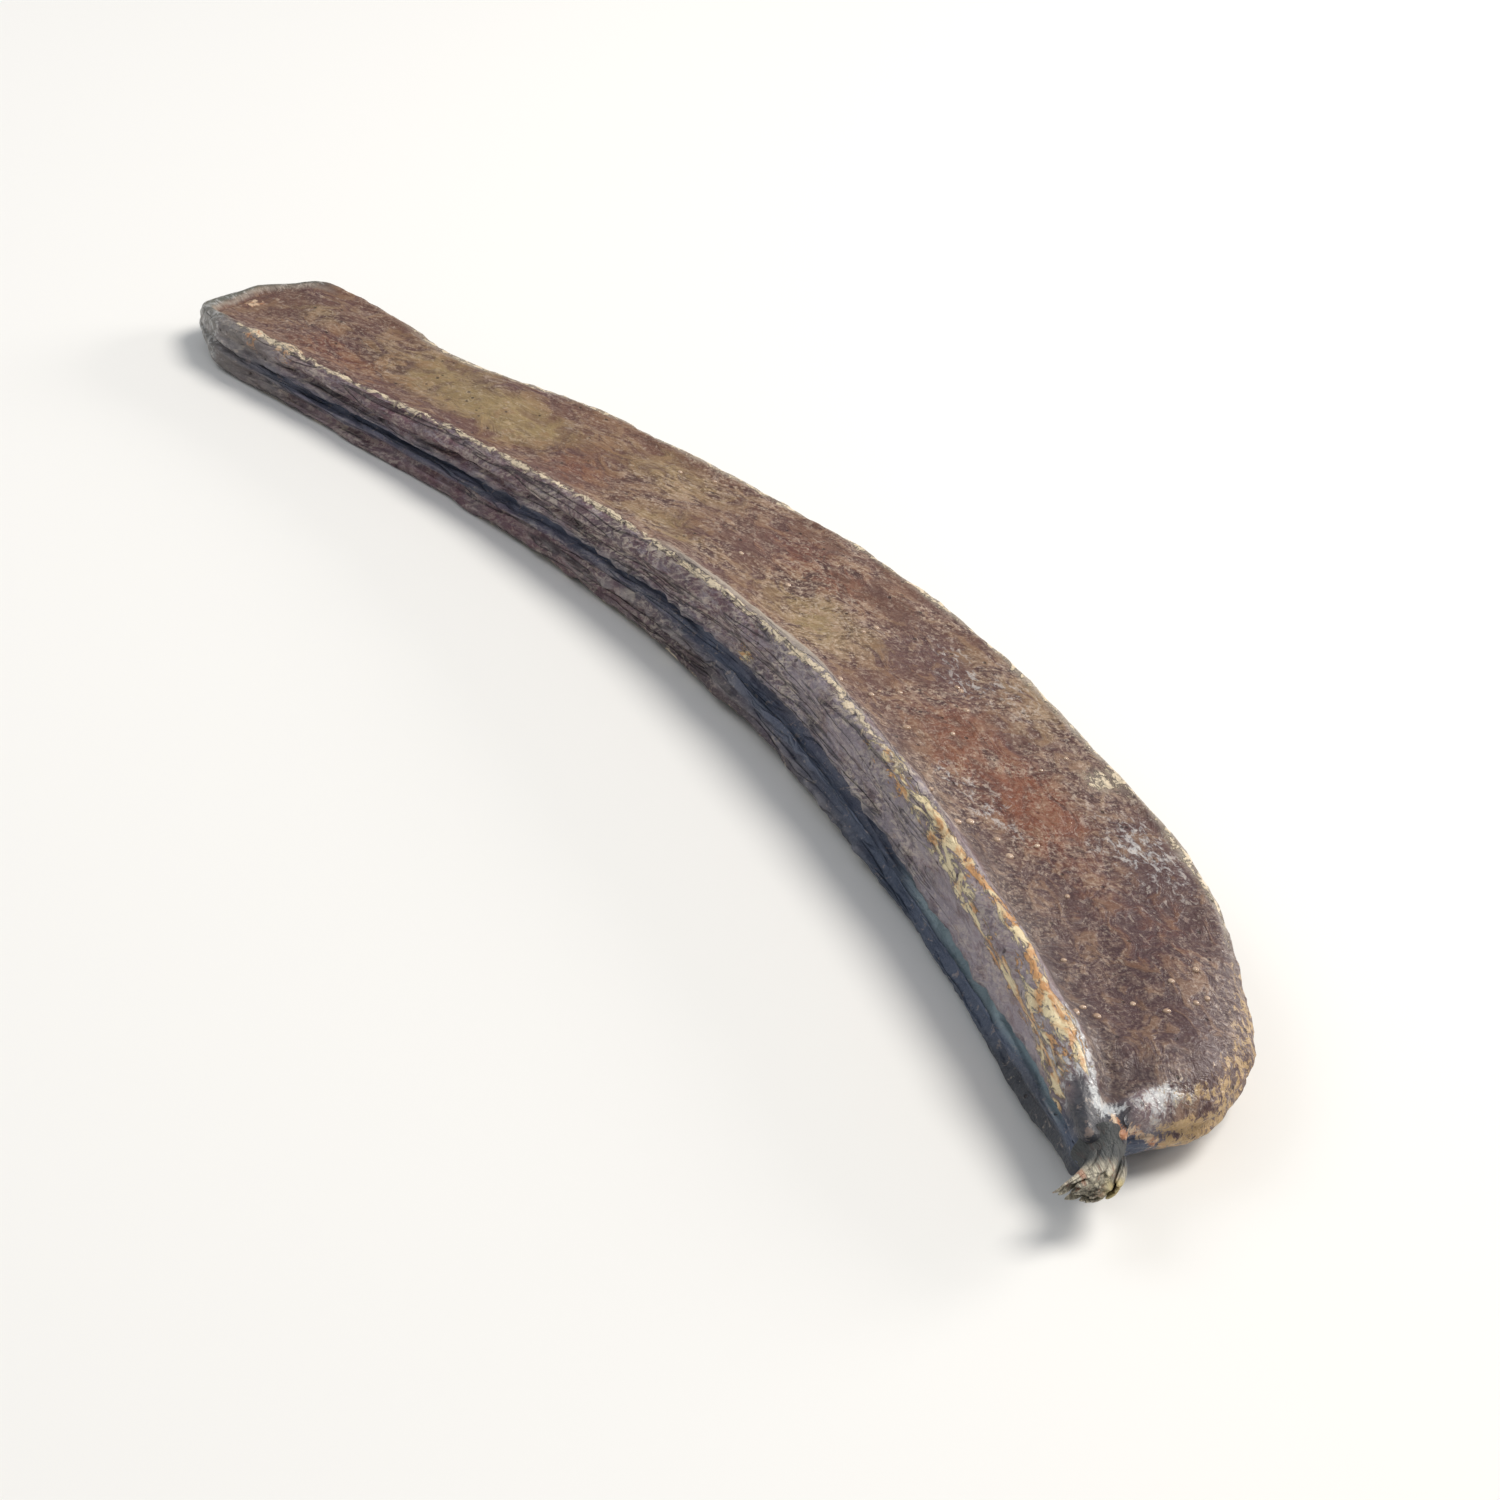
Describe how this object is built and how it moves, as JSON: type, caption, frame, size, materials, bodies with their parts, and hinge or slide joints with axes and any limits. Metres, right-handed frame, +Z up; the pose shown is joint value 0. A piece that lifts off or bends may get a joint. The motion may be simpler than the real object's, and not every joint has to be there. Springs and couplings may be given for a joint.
{
  "type": "carob pod",
  "caption": "Dry carob pod: long, flat and curved, with thick grooved margins, low seed bulges and a torn stalk stub. It lies on one broad face.",
  "frame": {"origin": "middle of the bounding box's base, on the surface that the pod lies on", "axes": "+Z up through the pod's thickness, +X along the pod from its rounded far tip to its stem end, -Y towards the inside of its bend, where the suture edge is"},
  "size_m": [0.179, 0.0472, 0.0132],
  "materials": {
    "husk": "dry brown pod skin with a soft sheen, fine oblique wrinkles and pale flecks on the rims",
    "stalk": "torn dry stalk fibres, grey-brown"
  },
  "bodies": {
    "root": {"pod": "husk", "stalk": "stalk"}
  },
  "joints": []
}
